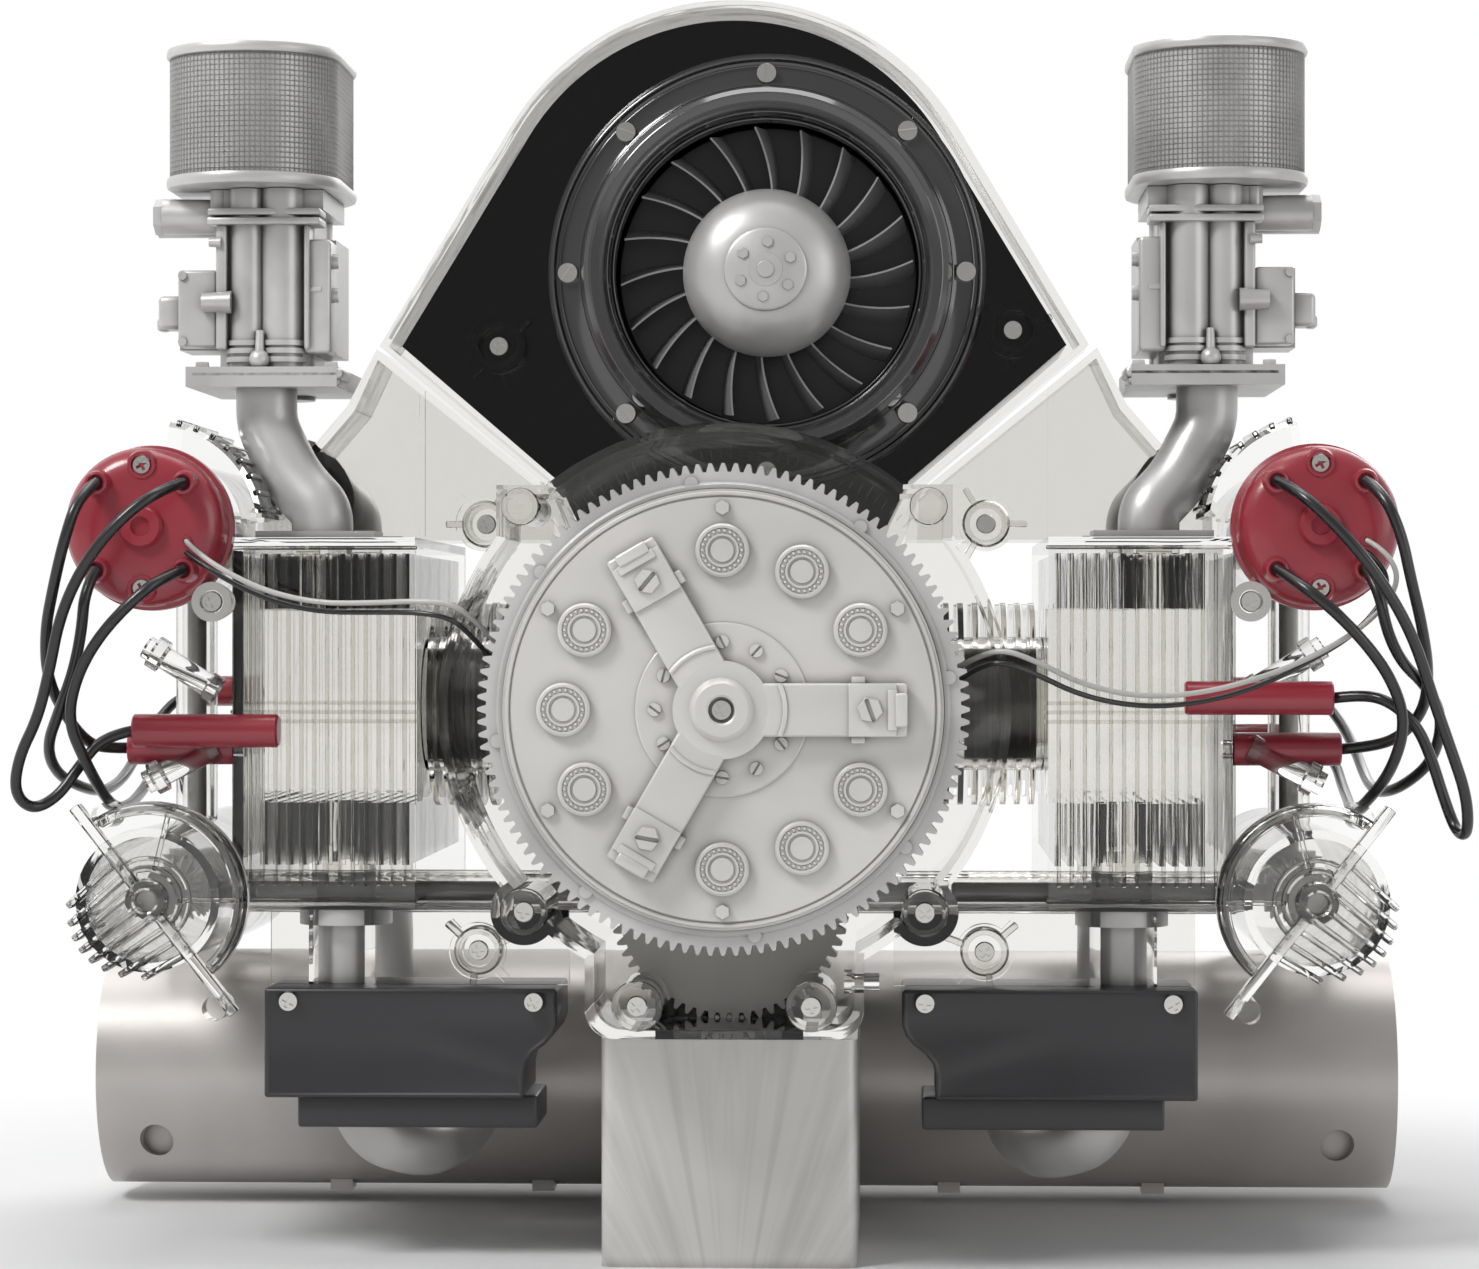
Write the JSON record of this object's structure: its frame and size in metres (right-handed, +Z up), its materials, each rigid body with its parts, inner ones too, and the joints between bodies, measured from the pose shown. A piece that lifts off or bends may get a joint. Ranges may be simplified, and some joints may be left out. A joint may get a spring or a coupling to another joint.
{
  "type": "flat-four engine model",
  "caption": "Clear motor-driven model of an air-cooled flat engine with fan, twin carburettors, four camshafts and clutch, on a box stand",
  "frame": {"origin": "centre of the stand's base on the floor, under the crankshaft", "axes": "+X across the engine to the right seen from the clutch end, +Y from clutch to pulley end along the crankshaft, +Z up"},
  "size_m": [0.3538, 0.2036, 0.3125],
  "materials": {
    "clear_plastic": "clear, slightly smoky",
    "smoky_plastic": "clear, finned",
    "silver_plastic": "pearl silver moulding",
    "pale_silver_plastic": "pale pearl silver",
    "warm_silver_plastic": "warm pearl silver",
    "grey_plastic": "satin",
    "red_plastic": "dark red",
    "black_plastic": "satin black",
    "black_rubber": "satin",
    "wire_cover": "satin",
    "screw_steel": "bright"
  },
  "bodies": {
    "engine": {"air_ducts": "clear_plastic", "air_filters": "silver_plastic", "battery_cover": "black_plastic", "bell_housing": "clear_plastic", "carburettors": "silver_plastic", "case_screws": "screw_steel", "crankcase_left": "clear_plastic", "crankcase_right": "clear_plastic", "cylinder_barrels": "clear_plastic", "cylinder_heads": "smoky_plastic", "distributor_caps": "red_plastic", "drive_belt": "black_rubber", "drive_motor": "screw_steel", "dynamo": "silver_plastic", "exhaust_cam_housings": "clear_plastic", "exhaust_pipes": "silver_plastic", "fan_inlet_ring": "clear_plastic", "fan_shroud_front": "clear_plastic", "fan_shroud_rear": "black_plastic", "heater_boxes": "black_plastic", "ignition_leads": "black_rubber", "intake_cam_housings": "clear_plastic", "intake_manifolds": "silver_plastic", "lower_tins": "clear_plastic", "muffler": "warm_silver_plastic", "shaft_tubes": "clear_plastic", "spark_plug_boots": "red_plastic", "stand": "silver_plastic", "stand_top_plate": "black_plastic", "sump": "clear_plastic", "supply_wires": "wire_cover"},
    "crank": {"crankshaft": "grey_plastic", "flywheel": "silver_plastic", "clutch_plate": "pale_silver_plastic", "clutch_levers": "pale_silver_plastic", "clutch_bolts": "pale_silver_plastic", "crank_pulley": "silver_plastic"},
    "web_plug_front": {"crank_web_plug_front": "grey_plastic"},
    "web_plug_rear": {"crank_web_plug_rear": "grey_plastic"},
    "layshaft": {"layshaft_gear": "grey_plastic"},
    "motor_pinion": {"motor_gear": "grey_plastic"},
    "fan": {"fan_rotor": "black_plastic", "fan_hub": "silver_plastic"},
    "button": {"power_button": "clear_plastic"},
    "rod_front_left": {"connecting_rod_front_left": "silver_plastic"},
    "piston_front_left": {"piston_front_left": "silver_plastic"},
    "rod_front_right": {"connecting_rod_front_right": "silver_plastic"},
    "piston_front_right": {"piston_front_right": "silver_plastic"},
    "rod_rear_left": {"connecting_rod_rear_left": "silver_plastic"},
    "piston_rear_left": {"piston_rear_left": "silver_plastic"},
    "rod_rear_right": {"connecting_rod_rear_right": "silver_plastic"},
    "piston_rear_right": {"piston_rear_right": "silver_plastic"},
    "cross_left": {"cross_shaft_left": "grey_plastic"},
    "exhaust_cam_left": {"exhaust_camshaft_left": "grey_plastic"},
    "intake_cam_left": {"intake_camshaft_left": "grey_plastic"},
    "vertical_left": {"vertical_shaft_left": "grey_plastic"},
    "cross_right": {"cross_shaft_right": "grey_plastic"},
    "exhaust_cam_right": {"exhaust_camshaft_right": "grey_plastic"},
    "intake_cam_right": {"intake_camshaft_right": "grey_plastic"},
    "vertical_right": {"vertical_shaft_right": "grey_plastic"}
  },
  "joints": [
    {"name": "crank_spin", "type": "hinge", "parent": "engine", "child": "crank", "pos_m": [0, 0, 0.1364], "axis": [0, 1, 0], "continuous": true},
    {"name": "layshaft_spin", "type": "hinge", "parent": "engine", "child": "layshaft", "pos_m": [0, -0.054, 0.0889], "axis": [0, 1, 0], "continuous": true},
    {"name": "motor_spin", "type": "hinge", "parent": "engine", "child": "motor_pinion", "pos_m": [0, -0.054, 0.0414], "axis": [0, 1, 0], "continuous": true},
    {"name": "fan_spin", "type": "hinge", "parent": "engine", "child": "fan", "pos_m": [0.0084, 0, 0.2443], "axis": [0, 1, 0], "continuous": true},
    {"name": "web_plug_front_spin", "type": "hinge", "parent": "crank", "child": "web_plug_front", "pos_m": [0.004, -0.006, 0.1364], "axis": [0, 1, 0], "continuous": true},
    {"name": "web_plug_rear_spin", "type": "hinge", "parent": "crank", "child": "web_plug_rear", "pos_m": [-0.004, 0.046, 0.1364], "axis": [0, 1, 0], "continuous": true},
    {"name": "rod_front_left_turn", "type": "hinge", "parent": "crank", "child": "rod_front_left", "pos_m": [-0.008, -0.021, 0.1364], "axis": [0, 1, 0], "continuous": true},
    {"name": "piston_front_left_turn", "type": "hinge", "parent": "web_plug_rear", "child": "piston_front_left", "pos_m": [-0.008, -0.021, 0.1364], "axis": [0, 1, 0], "continuous": true},
    {"name": "rod_front_right_turn", "type": "hinge", "parent": "crank", "child": "rod_front_right", "pos_m": [0.008, -0.011, 0.1364], "axis": [0, 1, 0], "continuous": true},
    {"name": "piston_front_right_turn", "type": "hinge", "parent": "web_plug_front", "child": "piston_front_right", "pos_m": [0.008, -0.011, 0.1364], "axis": [0, 1, 0], "continuous": true},
    {"name": "rod_rear_left_turn", "type": "hinge", "parent": "crank", "child": "rod_rear_left", "pos_m": [0.008, 0.031, 0.1364], "axis": [0, 1, 0], "continuous": true},
    {"name": "piston_rear_left_turn", "type": "hinge", "parent": "web_plug_front", "child": "piston_rear_left", "pos_m": [0.008, 0.031, 0.1364], "axis": [0, 1, 0], "continuous": true},
    {"name": "rod_rear_right_turn", "type": "hinge", "parent": "crank", "child": "rod_rear_right", "pos_m": [-0.008, 0.041, 0.1364], "axis": [0, 1, 0], "continuous": true},
    {"name": "piston_rear_right_turn", "type": "hinge", "parent": "web_plug_rear", "child": "piston_rear_right", "pos_m": [-0.008, 0.041, 0.1364], "axis": [0, 1, 0], "continuous": true},
    {"name": "cross_left_spin", "type": "hinge", "parent": "engine", "child": "cross_left", "pos_m": [-0.07, -0.02, 0.0889], "axis": [1, 0, 0], "continuous": true},
    {"name": "exhaust_cam_left_spin", "type": "hinge", "parent": "engine", "child": "exhaust_cam_left", "pos_m": [-0.1426, 0, 0.0889], "axis": [0, 1, 0], "continuous": true},
    {"name": "vertical_left_spin", "type": "hinge", "parent": "engine", "child": "vertical_left", "pos_m": [-0.1426, 0.012, 0.135], "axis": [0, 0, 1], "continuous": true},
    {"name": "intake_cam_left_spin", "type": "hinge", "parent": "engine", "child": "intake_cam_left", "pos_m": [-0.1426, 0, 0.1802], "axis": [0, 1, 0], "continuous": true},
    {"name": "cross_right_spin", "type": "hinge", "parent": "engine", "child": "cross_right", "pos_m": [0.07, -0.02, 0.0889], "axis": [1, 0, 0], "continuous": true},
    {"name": "exhaust_cam_right_spin", "type": "hinge", "parent": "engine", "child": "exhaust_cam_right", "pos_m": [0.1426, 0, 0.0889], "axis": [0, 1, 0], "continuous": true},
    {"name": "vertical_right_spin", "type": "hinge", "parent": "engine", "child": "vertical_right", "pos_m": [0.1426, 0.012, 0.135], "axis": [0, 0, 1], "continuous": true},
    {"name": "intake_cam_right_spin", "type": "hinge", "parent": "engine", "child": "intake_cam_right", "pos_m": [0.1426, 0, 0.1802], "axis": [0, 1, 0], "continuous": true},
    {"name": "button_push", "type": "slide", "parent": "engine", "child": "button", "axis": [-1, 0, 0], "range_m": [0, 0.0015]}
  ],
  "couplings": [
    {"joint": "layshaft_spin", "follows": "crank_spin", "ratio": -0.66667},
    {"joint": "motor_spin", "follows": "crank_spin", "ratio": 1},
    {"joint": "fan_spin", "follows": "crank_spin", "ratio": 1.2},
    {"joint": "web_plug_front_spin", "follows": "crank_spin", "ratio": -2},
    {"joint": "web_plug_rear_spin", "follows": "crank_spin", "ratio": -2},
    {"joint": "rod_front_left_turn", "follows": "crank_spin", "ratio": -1},
    {"joint": "piston_front_left_turn", "follows": "crank_spin", "ratio": 1},
    {"joint": "rod_front_right_turn", "follows": "crank_spin", "ratio": -1},
    {"joint": "piston_front_right_turn", "follows": "crank_spin", "ratio": 1},
    {"joint": "rod_rear_left_turn", "follows": "crank_spin", "ratio": -1},
    {"joint": "piston_rear_left_turn", "follows": "crank_spin", "ratio": 1},
    {"joint": "rod_rear_right_turn", "follows": "crank_spin", "ratio": -1},
    {"joint": "piston_rear_right_turn", "follows": "crank_spin", "ratio": 1},
    {"joint": "cross_left_spin", "follows": "crank_spin", "ratio": 0.66667},
    {"joint": "exhaust_cam_left_spin", "follows": "crank_spin", "ratio": -0.5},
    {"joint": "vertical_left_spin", "follows": "crank_spin", "ratio": -0.5},
    {"joint": "intake_cam_left_spin", "follows": "crank_spin", "ratio": -0.5},
    {"joint": "cross_right_spin", "follows": "crank_spin", "ratio": -0.66667},
    {"joint": "exhaust_cam_right_spin", "follows": "crank_spin", "ratio": -0.5},
    {"joint": "vertical_right_spin", "follows": "crank_spin", "ratio": -0.5},
    {"joint": "intake_cam_right_spin", "follows": "crank_spin", "ratio": -0.5}
  ]
}
